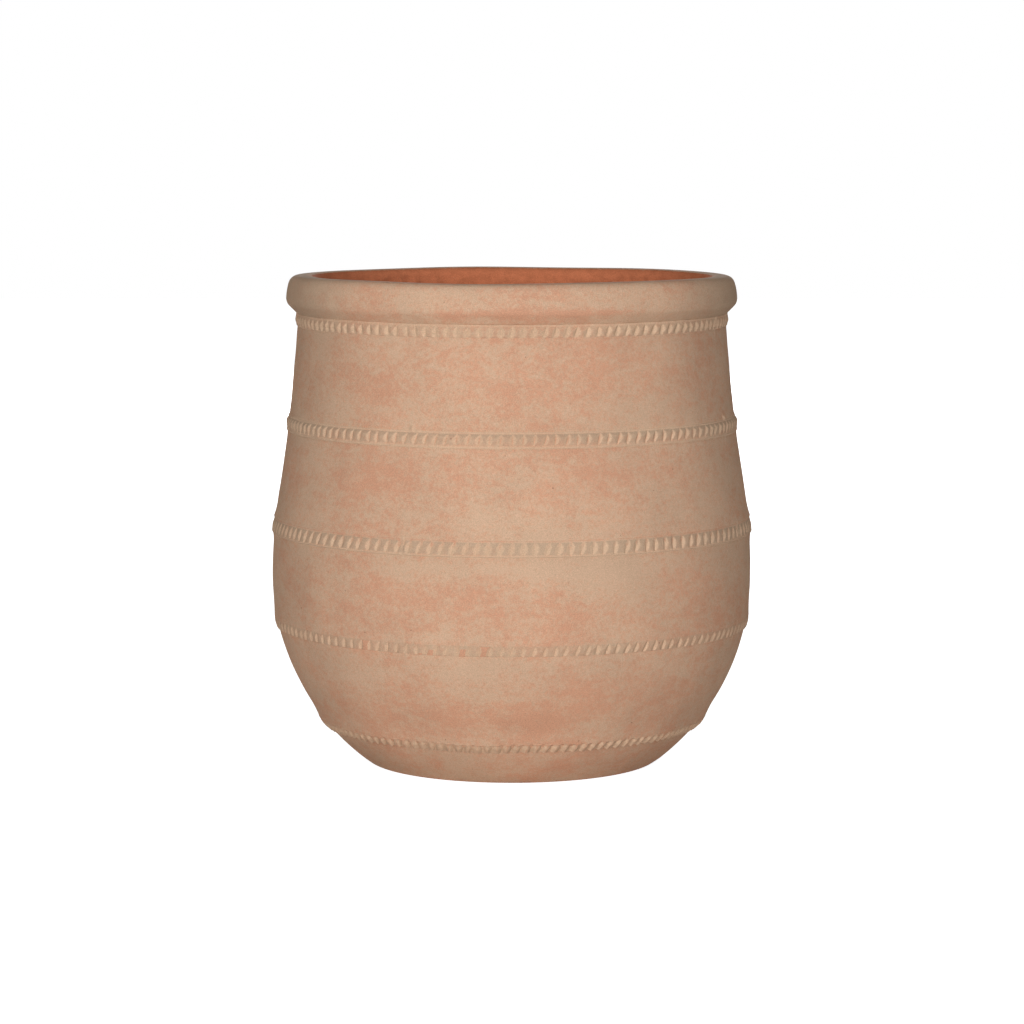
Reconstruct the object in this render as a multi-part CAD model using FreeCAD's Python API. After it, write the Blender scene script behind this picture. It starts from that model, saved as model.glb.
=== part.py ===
# Wide terracotta flower pot with a rolled rim and five notched rope bands.
# Millimetres, +Z up, origin on the ground under the middle of the pot, front towards -Y.
import FreeCAD, Part
import math
import os

# Outside of the wall
pot_height = 455.0        # ground to the top of the rim
belly_radius = 225.0      # widest point of the wall
belly_height = 178.0      # height of the widest point
foot_inset = 90.0         # how much narrower the foot is, where the curve would meet the ground
foot_edge_round = 7.0     # rounding of the edge that the pot stands on
shoulder_round = 450.0    # radius of the curve just above the belly
shoulder_lean = 9.2       # degrees by which the wall leans in at the end of that curve
neck_inset = 26.0         # how much narrower the wall is under the rim

# Thickness of the clay, and the hole in the floor
wall_thickness = 17.0
floor_thickness = 20.0
drain_radius = 15.0
floor_bevel = 15.0        # how much narrower the floor is at its underside
joint_bevel = 6.0         # drop of each joint between two rows, from the outside to the inside
slip_gap = 0.3            # layer of slip under the coil and the bands
coil_width = 24.0         # coil in the corner between floor and wall, along the floor
coil_height = 16.0        # the same coil up the wall

# Rolled rim
rim_height = 33.0         # crease under the rim to its top
rim_overhang = 11.5       # how far the rim stands out past the neck
rim_widest_drop = 20.3    # from the top of the rim down to its widest point
rim_ledge = 2.0           # level ledge over the top band
rim_under_round = 8.0     # curve of the rim's outside below the widest point
rim_side_round = 42.0     # curve of the rim's outside above the widest point
rim_top_round = 9.0       # outer top edge
rim_mouth_round = 8.0     # inner top edge

# Rope bands: height of the middle, width along the wall and spacing of the notches round the pot
foot_band_height = 40.6
foot_band_width = 11.5
foot_notch_pitch = 8.8
lower_band_height = 134.6
lower_band_width = 11.5
lower_notch_pitch = 9.6
belly_band_height = 225.1
belly_band_width = 15.0
belly_notch_pitch = 10.4
shoulder_band_height = 320.2
shoulder_band_width = 15.0
shoulder_notch_pitch = 9.7
neck_band_drop = 0.5      # from the crease under the rim down to the top band
neck_band_width = 12.0
neck_notch_pitch = 9.7

# Strips and notches of all bands
band_edge = 1.1           # how far the strip's face stands off the wall at its edges
band_proud = 2.4          # how far it stands off in its middle
notch_depth = 1.5
notch_width = 5.4
notch_keel = 5.0          # length of a notch's level bottom
notch_border = 1.0        # from a notch's tips to the edges of the strip
notch_lean = 12.0         # degrees, upper tips to the right

ground_centre = FreeCAD.Vector(0, 0, 0)
upwards = FreeCAD.Vector(0, 0, 1)
sideways = FreeCAD.Vector(1, 0, 0)
full_turn = 360.0
neck_top = pot_height - rim_height


class WallArc:
    """One arc of the wall's outside: side is 1 where the arc bulges out and -1 where it is hollow."""

    def __init__(self, centre_radius, centre_height, radius, side):
        self.centre_radius = centre_radius
        self.centre_height = centre_height
        self.radius = radius
        self.side = side

    def shrink(self, depth):
        """Size of the arc at this depth in the clay, as a share of its size on the outside."""
        return 1 - self.side * depth / self.radius

    def point(self, height, depth):
        """Point at this depth straight in from the outside point at this height."""
        rise = height - self.centre_height
        reach = self.side * math.sqrt(self.radius ** 2 - rise ** 2)
        share = self.shrink(depth)
        return FreeCAD.Vector(self.centre_radius + reach * share, 0, self.centre_height + rise * share)

    def height_over(self, level, depth):
        """Height of the outside point whose point at this depth lies on the given level."""
        return self.centre_height + (level - self.centre_height) / self.shrink(depth)


# Arcs of the wall's outside from the foot up, each meeting the next without a corner
foot_round = (foot_inset ** 2 + belly_height ** 2) / (2 * foot_inset)
foot_arc = WallArc(belly_radius - foot_round, belly_height, foot_round, 1)
shoulder_arc = WallArc(belly_radius - shoulder_round, belly_height, shoulder_round, 1)
shoulder_top = belly_height + shoulder_round * math.sin(math.radians(shoulder_lean))


def make_neck_arc():
    """Arc that goes on from the shoulder without a corner and ends at the crease under the rim."""
    start = shoulder_arc.point(shoulder_top, 0)
    outward = shoulder_arc.point(shoulder_top, -1) - start
    chord = FreeCAD.Vector(belly_radius - neck_inset, 0, neck_top) - start
    neck_round = chord.dot(chord) / (2 * chord.dot(outward))
    centre = start + outward * neck_round
    return WallArc(centre.x, centre.z, abs(neck_round), -math.copysign(1, neck_round))


neck_arc = make_neck_arc()


def wall_arc_at(height):
    if height <= belly_height:
        return foot_arc
    if height <= shoulder_top:
        return shoulder_arc
    return neck_arc


def wall_point(height, depth):
    """Point of the wall in from its outside at this height, or off the wall where the depth is negative."""
    return wall_arc_at(height).point(height, depth)


def wall_directions(height):
    """The wall's outward and upward directions, each one millimetre long."""
    outward = wall_point(height, -1) - wall_point(height, 0)
    return outward, FreeCAD.Vector(-outward.z, 0, outward.x)


def line(start, end):
    return Part.LineSegment(start, end).toShape()


def arc(start, middle, end):
    return Part.Arc(start, middle, end).toShape()


def arc_about(centre, radius, start, end):
    """Short arc between two unit directions from a centre."""
    middle = (start + end).normalize()
    return arc(centre + start * radius, centre + middle * radius, centre + end * radius)


def wall_edges(low, high, depth):
    """Edges of the wall's outline at one depth, between two outside heights."""
    joins = [height for height in (belly_height, shoulder_top) if low < height < high]
    heights = [low] + joins + [high]
    edges = []
    for lower, upper in zip(heights, heights[1:]):
        middle = (lower + upper) / 2
        piece = wall_arc_at(middle)
        edges.append(arc(piece.point(lower, depth), piece.point(middle, depth), piece.point(upper, depth)))
    return edges


def joint_line(height):
    """Bevelled joint between two rows, from the outside down and in to the inside."""
    return line(wall_point(height, 0), wall_point(height - joint_bevel, wall_thickness))


def turned(edges, angle=full_turn):
    """Solid made by turning a closed outline about the pot's axis."""
    outline = Part.Wire(Part.__sortEdges__(edges))
    return Part.Face(outline).revolve(ground_centre, upwards, angle)


# Inside corner of the floor: the outside height that it lies behind, its place, and the floor's lower edge
corner_height = foot_arc.height_over(floor_thickness, wall_thickness)
floor_corner = wall_point(corner_height, wall_thickness)
floor_low_edge = FreeCAD.Vector(floor_corner.x - floor_bevel, 0, 0)


def make_floor_slab():
    """Round floor with a bevelled edge that fits the foot row, and the drain hole in the middle."""
    hole_bottom = FreeCAD.Vector(drain_radius, 0, 0)
    hole_top = FreeCAD.Vector(drain_radius, 0, floor_thickness)
    corners = [hole_bottom, floor_low_edge, floor_corner, hole_top]
    return turned([line(start, end) for start, end in zip(corners, corners[1:] + corners[:1])])


def make_floor_coil():
    """Coil rubbed into the inside corner, on slip, from the floor to the wall."""
    depth = wall_thickness + slip_gap
    low = foot_arc.height_over(floor_thickness + slip_gap, depth)
    high = foot_arc.height_over(floor_thickness + coil_height, depth)
    corner = wall_point(low, depth)
    on_floor = corner - sideways * coil_width
    flats = [line(on_floor, corner), line(wall_point(high, depth), on_floor)]
    return turned(flats + wall_edges(low, high, depth))


def make_foot_course(top):
    """Lowest row of the wall, with the rounded edge that the pot stands on."""
    arc_centre = FreeCAD.Vector(foot_arc.centre_radius, 0, foot_arc.centre_height)
    reach = foot_arc.radius - foot_edge_round
    run = math.sqrt(reach ** 2 - (arc_centre.z - foot_edge_round) ** 2)
    edge_centre = FreeCAD.Vector(arc_centre.x + run, 0, foot_edge_round)
    outward = (edge_centre - arc_centre).normalize()
    rounding = arc_about(edge_centre, foot_edge_round, -upwards, outward)
    rounding_top = edge_centre + outward * foot_edge_round
    ground = line(floor_low_edge, edge_centre - upwards * foot_edge_round)
    floor_joint = line(floor_low_edge, floor_corner)
    outside = wall_edges(rounding_top.z, top, 0)
    inside = wall_edges(corner_height, top - joint_bevel, wall_thickness)
    return turned([floor_joint, ground, rounding, joint_line(top)] + outside + inside)


def make_course(bottom, top):
    """Row of the wall between two bevelled joints."""
    outside = wall_edges(bottom, top, 0)
    inside = wall_edges(bottom - joint_bevel, top - joint_bevel, wall_thickness)
    return turned([joint_line(bottom), joint_line(top)] + outside + inside)


# Outside height and place of the mouth's edge, where the inside of the wall reaches the rim
mouth_height = neck_arc.height_over(neck_top, wall_thickness)
mouth_edge = wall_point(mouth_height, wall_thickness)
crease = wall_point(neck_top, 0)


def make_neck_course(bottom):
    """Last row of the wall, with a level top for the rim."""
    outside = wall_edges(bottom, neck_top, 0)
    inside = wall_edges(bottom - joint_bevel, mouth_height, wall_thickness)
    return turned([joint_line(bottom), line(mouth_edge, crease)] + outside + inside)


def make_rim_roll():
    """Rolled rim: ledge, sloping underside, curved outside, level top with rounded edges, straight bore."""
    widest = crease + FreeCAD.Vector(rim_overhang, 0, rim_height - rim_widest_drop)
    ledge = crease + sideways * rim_ledge
    under_centre = widest - sideways * rim_under_round
    reach = ledge - under_centre
    slope_turn = math.atan2(reach.z, reach.x) + math.acos(rim_under_round / reach.Length)
    slope_outward = FreeCAD.Vector(math.cos(slope_turn), 0, math.sin(slope_turn))
    slope = line(ledge, under_centre + slope_outward * rim_under_round)
    under_edge = arc_about(under_centre, rim_under_round, slope_outward, sideways)

    side_centre = widest - sideways * rim_side_round
    edge_rise = rim_widest_drop - rim_top_round
    edge_run = math.sqrt((rim_side_round - rim_top_round) ** 2 - edge_rise ** 2)
    edge_centre = side_centre + FreeCAD.Vector(edge_run, 0, edge_rise)
    edge_outward = (edge_centre - side_centre).normalize()
    side = arc_about(side_centre, rim_side_round, sideways, edge_outward)
    outer_edge = arc_about(edge_centre, rim_top_round, edge_outward, upwards)

    mouth_centre = mouth_edge + FreeCAD.Vector(rim_mouth_round, 0, rim_height - rim_mouth_round)
    inner_edge = arc_about(mouth_centre, rim_mouth_round, upwards, -sideways)
    flats = [line(edge_centre + upwards * rim_top_round, mouth_centre + upwards * rim_mouth_round),
             line(mouth_centre - sideways * rim_mouth_round, mouth_edge),
             line(mouth_edge, ledge)]
    return turned([slope, under_edge, side, outer_edge, inner_edge] + flats)


def make_notch(middle, width):
    """Tool for one leaf-shaped notch: a boat with a level keel and its deck as far over the strip's face."""
    seat = wall_point(middle, 0)
    outward, up = wall_directions(middle)
    lean = FreeCAD.Rotation(outward, -notch_lean)
    across = lean.multVec(up.cross(outward))
    upright = lean.multVec(up)
    keel = band_proud - notch_depth
    deck = band_proud + notch_depth
    half_keel = notch_keel / 2
    deck_tip = width - 2 * notch_border - half_keel

    def corner(side, rise, proud):
        return seat + across * side + upright * rise + outward * proud

    low_keel = corner(0, -half_keel, keel)
    high_keel = corner(0, half_keel, keel)
    right_low = corner(notch_width, -half_keel, deck)
    right_high = corner(notch_width, half_keel, deck)
    high_tip = corner(0, deck_tip, deck)
    left_high = corner(-notch_width, half_keel, deck)
    left_low = corner(-notch_width, -half_keel, deck)
    low_tip = corner(0, -deck_tip, deck)
    outlines = [
        [right_low, right_high, high_keel, low_keel],
        [left_high, left_low, low_keel, high_keel],
        [right_high, high_tip, high_keel],
        [high_tip, left_high, high_keel],
        [left_low, low_tip, low_keel],
        [low_tip, right_low, low_keel],
        [right_low, low_tip, left_low, left_high, high_tip, right_high],
    ]
    faces = [Part.Face(Part.makePolygon(outline + outline[:1])) for outline in outlines]
    return Part.Solid(Part.Shell(faces))


def make_band(middle, width, pitch):
    """Clay strip round the wall with its notches: one pitch of it is made, and its skin is repeated."""
    up = wall_directions(middle)[1]
    low = middle - width / 2 * up.z
    high = middle + width / 2 * up.z
    low_edge = wall_point(low, -band_edge)
    high_edge = wall_point(high, -band_edge)
    strip = [arc(low_edge, wall_point(middle, -band_proud), high_edge),
             line(wall_point(low, -slip_gap), low_edge),
             line(wall_point(high, -slip_gap), high_edge)]
    count = round(2 * math.pi * wall_point(middle, 0).x / pitch)
    step = full_turn / count
    sector = turned(strip + wall_edges(low, high, -slip_gap), step)
    sector.rotate(ground_centre, upwards, -step / 2)
    sector = sector.cut(make_notch(middle, width))
    skin = []
    for face in sector.Faces:
        turn = math.degrees(math.atan2(face.CenterOfMass.y, face.CenterOfMass.x))
        if abs(turn) < step / 4:
            skin.append(face)
    faces = []
    for index in range(count):
        for face in skin:
            repeated = face.copy()
            repeated.rotate(ground_centre, upwards, index * step)
            faces.append(repeated)
    return Part.Solid(Part.Shell(faces))


def neck_band_height():
    """Middle of the band that is tucked under the rim."""
    band_top = neck_top - neck_band_drop
    up = wall_directions(band_top)[1]
    return band_top - neck_band_width / 2 * up.z


def make_pot():
    """All pieces by name. Each joint between two rows lies behind the middle of a band."""
    bands = {
        "foot_band": (foot_band_height, foot_band_width, foot_notch_pitch),
        "lower_band": (lower_band_height, lower_band_width, lower_notch_pitch),
        "belly_band": (belly_band_height, belly_band_width, belly_notch_pitch),
        "shoulder_band": (shoulder_band_height, shoulder_band_width, shoulder_notch_pitch),
        "neck_band": (neck_band_height(), neck_band_width, neck_notch_pitch),
    }
    pieces = {
        "floor_slab": make_floor_slab(),
        "floor_coil": make_floor_coil(),
        "foot_course": make_foot_course(foot_band_height),
        "lower_course": make_course(foot_band_height, lower_band_height),
        "belly_course": make_course(lower_band_height, belly_band_height),
        "shoulder_course": make_course(belly_band_height, shoulder_band_height),
        "neck_course": make_neck_course(shoulder_band_height),
        "rim_roll": make_rim_roll(),
    }
    for name, (middle, width, pitch) in bands.items():
        pieces[name] = make_band(middle, width, pitch)
    return pieces


os.makedirs("parts", exist_ok=True)
for name, shape in make_pot().items():
    shape.exportStep(f"parts/{name}.step")
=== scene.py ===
"""Looks of a washed terracotta flower pot with rope bands, built over its packed solids."""
import math

import bpy
import numpy as np
from bpy.props import FloatProperty, FloatVectorProperty, IntProperty, PointerProperty
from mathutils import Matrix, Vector


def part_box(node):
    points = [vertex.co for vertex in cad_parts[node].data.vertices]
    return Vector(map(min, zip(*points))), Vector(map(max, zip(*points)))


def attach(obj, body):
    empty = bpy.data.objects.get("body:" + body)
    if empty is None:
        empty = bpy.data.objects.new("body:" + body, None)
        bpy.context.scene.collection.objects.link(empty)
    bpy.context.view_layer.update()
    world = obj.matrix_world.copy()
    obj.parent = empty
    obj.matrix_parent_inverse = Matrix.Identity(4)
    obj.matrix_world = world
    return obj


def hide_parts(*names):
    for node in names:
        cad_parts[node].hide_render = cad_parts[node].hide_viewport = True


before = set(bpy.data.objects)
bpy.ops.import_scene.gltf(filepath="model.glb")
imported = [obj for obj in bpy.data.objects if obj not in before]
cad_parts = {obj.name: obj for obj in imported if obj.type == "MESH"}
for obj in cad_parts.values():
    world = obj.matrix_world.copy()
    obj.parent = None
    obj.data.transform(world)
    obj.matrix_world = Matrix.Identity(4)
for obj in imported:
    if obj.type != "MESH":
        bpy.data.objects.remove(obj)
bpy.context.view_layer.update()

bl_info = {
    "name": "Flower Pot",
    "version": (1, 0, 0),
    "blender": (4, 5, 0),
    "location": "View3D > Sidebar > Flower Pot",
    "description": "Builds a washed terracotta flower pot with rope bands over its solids",
    "category": "Add Mesh",
}

full_turn = 2 * math.pi
half_turn = math.pi
quarter_turn = math.pi / 2
body = "root"


# Kinds of setting

def length(name, description, default):
    """Length in metres."""
    return FloatProperty(name=name, description=description, default=default, unit="LENGTH", precision=4)


def share(name, description, default):
    """Share from 0 to 1."""
    return FloatProperty(name=name, description=description, default=default, min=0, max=1, subtype="FACTOR")


def angle(name, description, degrees):
    """Angle, given in degrees and kept in radians."""
    return FloatProperty(name=name, description=description, default=math.radians(degrees), subtype="ANGLE")


def number(name, description, default):
    """Plain number."""
    return FloatProperty(name=name, description=description, default=default)


def whole(name, description, default):
    """Whole number."""
    return IntProperty(name=name, description=description, default=default)


def colour(name, description, default):
    """Colour of a surface."""
    return FloatVectorProperty(name=name, description=description, default=default, size=3, min=0, max=1,
                               subtype="COLOR")


def place(name, description, default):
    """Point in metres."""
    return FloatVectorProperty(name=name, description=description, default=default, size=3, subtype="XYZ",
                               unit="LENGTH")


# Sizes that the solids give

def top_of(node):
    """Height of a solid's top."""
    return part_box(node)[1].z


def bottom_of(node):
    """Height of a solid's underside."""
    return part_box(node)[0].z


class WallSettings(bpy.types.PropertyGroup):
    """Sizes of the wall and the floor, as the solids have them."""
    belly_radius: length("Belly radius", "Widest point of the wall", 0.225)
    belly_height: length("Belly height", "Height of the widest point", 0.178)
    foot_inset: length("Foot inset", "How much narrower the foot is than the belly", 0.09)
    foot_edge_round: length("Foot edge", "Rounding of the edge that the pot stands on", 0.007)
    shoulder_round: length("Shoulder round", "Radius of the curve above the belly", 0.45)
    shoulder_lean: angle("Shoulder lean", "How far the wall leans in at the end of that curve", 9.2)
    neck_inset: length("Neck inset", "How much narrower the wall is under the rim", 0.026)
    neck_top: length("Neck top", "Height of the crease under the rim", bottom_of("rim_roll"))
    thickness: length("Wall thickness", "Thickness of the clay", 0.017)
    floor_thickness: length("Floor thickness", "Thickness of the floor", top_of("floor_slab"))
    floor_bevel: length("Floor bevel", "How much narrower the floor is at its underside", 0.015)
    drain_radius: length("Drain hole", "Radius of the hole in the floor", 0.015)
    joint_bevel: length("Joint bevel", "Drop of a joint between two rows, from outside to inside", 0.006)
    coil_width: length("Coil width", "Coil in the corner, along the floor", 0.024)
    coil_top: length("Coil top", "Height of the coil's upper edge", top_of("floor_coil"))
    unevenness: length("Unevenness", "How far the pressed wall strays from a true round", 0.00032)
    press_marks: length("Press marks", "Depth of the hand marks inside", 0.0006)


class RimSettings(bpy.types.PropertyGroup):
    """Sizes of the rolled rim."""
    top: length("Top", "Height of the rim's top", top_of("rim_roll"))
    overhang: length("Overhang", "How far the rim stands out past the neck", 0.0115)
    widest_drop: length("Widest point", "From the top down to the widest point", 0.0203)
    under_round: length("Under round", "Curve below the widest point", 0.008)
    ledge: length("Ledge", "Level ledge over the top band", 0.002)
    side_round: length("Side round", "Curve of the outside above the widest point", 0.042)
    top_round: length("Outer edge", "Rounding of the outer top edge", 0.009)
    mouth_round: length("Inner edge", "Rounding of the inner top edge", 0.008)
    unevenness: length("Unevenness", "How far the rolled rim strays from a true round", 0.0004)
    front_rise: length("Front rise", "How much higher the rim is at the front than at the back", 0.003)
    # Painted shade: greyer wash on the rim's sides as the camera sees them
    side_shade: share("Side shade", "Greyness of the wash on the rim's sides", 0.85)
    wash_reach: length("Wash reach", "How far the wash runs down into the mouth", 0.0011)


# Settings of a rope band: name, kind, what it is, and the value that the bands share, if there is one
band_fields = (
    ("middle", length, "Height of the band's middle", None),
    ("width", length, "Width of the strip along the wall", None),
    ("notches", whole, "Number of notches", None),
    ("edge_round", length, "Width of the slopes at both edges", 0.0014),
    ("top_edge", length, "Swell of the wall at the upper edge", 0.0),
    ("top_fade", length, "Height over which that swell fades", 0.005),
    ("top_step", length, "Height of the strip at its upper edge", 0.0014),
    ("crown", length, "Greatest height of the strip", 0.0024),
    ("crown_shift", length, "Place of the crown above the middle", 0.0),
    ("bottom_step", length, "Height of the strip at its lower edge", 0.0012),
    ("bottom_edge", length, "Swell of the wall at the lower edge", 0.0),
    ("bottom_fade", length, "Height over which that swell fades", 0.006),
    ("top_border", length, "Plain border above the notches", 0.0014),
    ("bottom_border", length, "Plain border below the notches", 0.0022),
    ("notch_width", share, "Width of a notch as a share of the spacing", 0.62),
    ("notch_depth", length, "Depth of a notch", 0.0016),
    ("notch_lean", angle, "Lean of the notches, upper tips to the right", 12),
    ("sharpness", number, "How much steeper a notch is at its bottom", 1.15),
    ("tip", number, "How wide the notches stay towards the top", 1.6),
    ("fullness", share, "How wide the notches stay at their lower end", 0.4),
    ("variation", share, "How much the notches differ", 0.14),
    ("cream", share, "Paleness of the notches", 0.9),
    # The crack's value also sets its painted shade, a grey wash laid in the crack
    ("crack", share, "Depth of the crack at each joint of the mould", 0.3),
    ("dust", share, "Greyness of the lands between the notches", 0.8),
    # Painted shade: the lands' grey grows towards the band's upper edge, where they lie in shade
    ("dust_fall", share, "How much of the grey is lost towards the lower edge", 0.5),
    ("pink", share, "How far the wash is missing at the bottom of the notches", 0.2),
    ("top_line", share, "Paleness of the upper border", 0.0),
    ("bottom_line", share, "Paleness of the lower border", 0.0),
    ("top_worn", share, "Wear of the wash along the upper edge", 0.0),
    ("nub", share, "Nub of clay above the band at each joint of the mould", 0.0),
    ("bare", share, "Share of the lands between notches whose wash has come off", 0.0),
    ("bare_middle", angle, "Azimuth of the middle of those lands", -10),
    ("bare_reach", angle, "How far round those lands go", 16),
)


def band_settings(node, label, **sizes):
    """Settings of one rope band. Sizes that aren't given are the ones that the bands share."""
    fields = {}
    for name, kind, description, shared in band_fields:
        fields[name] = kind(name.replace("_", " ").capitalize(), description, sizes.get(name, shared))
    parts = {"__annotations__": fields, "__doc__": label + ".", "node": node}
    return type(node.title().replace("_", "") + "Settings", (bpy.types.PropertyGroup,), parts)


NeckBandSettings = band_settings(
    "neck_band", "Rope band tucked under the rim, with a pale border at the top",
    middle=0.416, width=0.0124, notches=129, top_edge=0.0018, top_fade=0.001, top_step=0.0022, crown=0.0026,
    bottom_fade=0.003, top_border=0.0022, bottom_border=0.0006, notch_width=0.74, notch_depth=0.0019,
    notch_lean=9, fullness=0.7, cream=1.0, crack=1.0, dust=0.4, dust_fall=0.3, pink=0.1, top_line=0.8)
ShoulderBandSettings = band_settings(
    "shoulder_band", "Rope band on the shoulder, with a pale line at both edges",
    middle=0.3202, width=0.015, notches=135, top_edge=0.0004, top_step=0.0008, crown_shift=0.002,
    bottom_edge=0.0005, top_border=0.0018, bottom_border=0.0032, notch_width=0.68, crack=0.1, dust=1.0,
    dust_fall=0.6, pink=0.6, top_line=1.0, bottom_line=1.0, nub=1.0)
BellyBandSettings = band_settings(
    "belly_band", "Rope band on the belly, worn along its upper edge and pale along the lower",
    middle=0.2251, width=0.015, notches=134, top_edge=0.0016, top_fade=0.014, top_step=0.001, crown=0.0022,
    crown_shift=-0.002, bottom_step=0.0021, bottom_edge=0.0011, bottom_fade=0.011, top_border=0.0008,
    bottom_border=0.0024, notch_width=0.68, fullness=0.6, crack=0.5, dust=0.95, dust_fall=0.3, pink=0.1,
    bottom_line=1.0, top_worn=0.9)
LowerBandSettings = band_settings(
    "lower_band", "Rope band under the belly: the wall above runs out onto it, and its lower edge steps in",
    middle=0.1346, width=0.0115, notches=144, edge_round=0.0008, top_edge=0.0017, top_fade=0.02,
    top_step=0.0018, crown=0.0023, bottom_step=0.002, bottom_fade=0.003, top_border=0.001,
    bottom_border=0.0004, notch_lean=14, fullness=0.8, dust=0.45, dust_fall=0.0, pink=0.3, bare=0.75)
FootBandSettings = band_settings(
    "foot_band", "Lowest rope band: the wall above runs out onto it, and its lower part slopes back in",
    middle=0.0406, width=0.0128, notches=126, edge_round=0.0008, top_edge=0.0024, top_fade=0.02,
    top_step=0.0028, crown=0.0034, crown_shift=0.0006, bottom_step=0.0025, bottom_fade=0.003,
    top_border=0.0003, bottom_border=0.0002, notch_width=0.98, notch_depth=0.0032, notch_lean=9,
    sharpness=1.6, tip=5.0, fullness=1.0, cream=1.0, dust=0.0, pink=0.0)

seam_degrees = (-25.6, 68.2, 158, -114)


class SeamSettings(bpy.types.PropertyGroup):
    """Marks of the four joints of the mould."""
    azimuths: FloatVectorProperty(
        name="Azimuths", description="Place of each joint, from the front to the right", size=4,
        default=[math.radians(degrees) for degrees in seam_degrees], subtype="EULER", unit="ROTATION")
    ridge: length("Ridge", "Height of the fin of clay that the joint left", 0.0005)
    ridge_width: length("Ridge width", "Half width of that fin", 0.0012)
    reach: length("Reach", "How far above and below a band the fin shows", 0.0045)
    nick: length("Nick", "Depth of the crack across a band", 0.002)
    nub: length("Nub", "Height of the nub of clay above a band", 0.0017)


class FinishSettings(bpy.types.PropertyGroup):
    """Colours and grain of the clay and of the wash on it."""
    wash: colour("Wash", "Thick pale wash", (0.624, 0.418, 0.283))
    thin_wash: colour("Thin wash", "Wash that the clay shows through", (0.617, 0.328, 0.209))
    # This grey wash is also laid on as painted shade in the cracks, on the rim's sides and towards the
    # lands' upper edge
    dusty_wash: colour("Dusty wash", "Greyer wash on the lands of the bands", (0.475, 0.34, 0.234))
    cream_wash: colour("Cream wash", "Paler wash in the notches and along the bands", (0.65, 0.455, 0.307))
    clay: colour("Clay", "Bare fired clay", (0.58, 0.19, 0.09))
    # Painted tint of the light: the wash is paler and greyer on the sides as the camera sees them
    side_light_tint: share("Side light tint", "How much thicker the wash is on the pot's sides", 0.2)
    foot_wash: share("Foot wash", "How much thicker the wash is on the foot", 0.1)
    speckle: length("Speckle", "Size of the speckle", 0.003)
    cloud: length("Clouds", "Size of the small clouds", 0.014)
    patch: length("Patches", "Size of the large patches", 0.075)
    grain: length("Grain", "Size of the sandy grain", 0.0009)
    pit: length("Pits", "Spacing of the cells that may hold a pit", 0.006)


class StageSettings(bpy.types.PropertyGroup):
    """Camera, lamps and floor."""
    camera: place("Camera", "Place of the camera", (0.0, -3.426, 0.6197))
    pitch: angle("Pitch", "How far the camera looks down", 6.43)
    lens: number("Lens", "Focal length in millimetres on a 36 mm frame", 128.8)
    left_azimuth: angle("Left lamp", "Azimuth of the left lamp", -26)
    right_azimuth: angle("Right lamp", "Azimuth of the right lamp", 19)
    lamp_elevation: angle("Lamp height", "Elevation of the lamps round the pot", 8)
    lamp_distance: length("Lamp distance", "From the pot to each lamp", 5.0)
    lamp_width: length("Lamp width", "Width of each lamp", 1.8)
    lamp_tall: length("Lamp tall", "Height of each lamp round the pot", 0.6)
    left_power: number("Left power", "Watts of the left lamp", 105)
    right_power: number("Right power", "Watts of the right lamp", 96.5)
    back_power: number("Back power", "Watts of the lamp behind the pot", 80)
    top_power: number("Top power", "Watts of the lamp over the pot", 40)
    ambient: number("Ambient", "Strength of the light from all round", 0.02)
    floor_bounce: share("Floor bounce", "How much light the floor sends back", 0.69)
    floor_white: share("Floor white", "White that the floor shows near the pot, less its shadow", 0.93)


class FlowerPotSettings(bpy.types.PropertyGroup):
    """All settings of the pot."""
    wall: PointerProperty(type=WallSettings)
    rim: PointerProperty(type=RimSettings)
    neck_band: PointerProperty(type=NeckBandSettings)
    shoulder_band: PointerProperty(type=ShoulderBandSettings)
    belly_band: PointerProperty(type=BellyBandSettings)
    lower_band: PointerProperty(type=LowerBandSettings)
    foot_band: PointerProperty(type=FootBandSettings)
    seams: PointerProperty(type=SeamSettings)
    finish: PointerProperty(type=FinishSettings)
    stage: PointerProperty(type=StageSettings)


# Forms

def smooth(value):
    """Soft step: 0 up to 0, 1 from 1 on, and 3v^2 - 2v^3 between."""
    held = np.clip(value, 0, 1)
    return held * held * (3 - 2 * held)


def bump(value):
    """Soft bump: 1 at 0, falling to 0 as a bell at about 2."""
    return np.exp(-value * value)


def smooth_through(positions, levels, where):
    """Curve through levels at rising positions, with a soft step from each to the next."""
    after = np.clip(np.searchsorted(positions, where), 1, len(positions) - 1)
    low, high = positions[after - 1], positions[after]
    step = smooth((where - low) / (high - low))
    return levels[after - 1] + (levels[after] - levels[after - 1]) * step


# Sets of hand waves, with the lengths of the shortest and the longest wave and the radius that they go round
wall_swell = dict(seed=11, shortest=0.09, longest=0.45)
wall_ripple = dict(seed=12, shortest=0.018, longest=0.06, spread=0.2)
hand_dents = dict(seed=21, shortest=0.009, longest=0.022, spread=0.6, count=48, around=0.185)
hand_swell = dict(seed=22, shortest=0.05, longest=0.2, spread=0.8, around=0.185)
rim_swell = dict(seed=31, shortest=0.12, longest=0.6)
rim_ripple = dict(seed=32, shortest=0.014, longest=0.05, spread=0.3)
floor_smears = dict(seed=51, shortest=0.014, longest=0.05, around=0.06)
floor_swell = dict(seed=52, shortest=0.03, longest=0.12, spread=0.25, around=0.06)
thumb_marks = dict(seed=53, shortest=0.012, longest=0.035, around=0.13)


def hand_waves(azimuth, height, seed, shortest, longest, spread=1.0, count=32, around=0.2):
    """Even random swell of the given spread: the sum of count cosine waves with random headings and lengths,
    each with a whole number of waves round the pot, so that it closes."""
    chance = np.random.default_rng(seed)
    total = 0
    for _ in range(count):
        span = shortest * (longest / shortest) ** chance.random()
        heading = chance.uniform(0, half_turn)
        turns = round(full_turn * around * math.cos(heading) / span)
        rise = full_turn * math.sin(heading) / span
        total = total + np.cos(turns * azimuth + rise * height + chance.uniform(0, full_turn))
    return spread * (total * math.sqrt(2 / count))


# Places of the lowest and the highest arc among the wall's three
foot_arc, neck_arc = 0, 2


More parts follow.
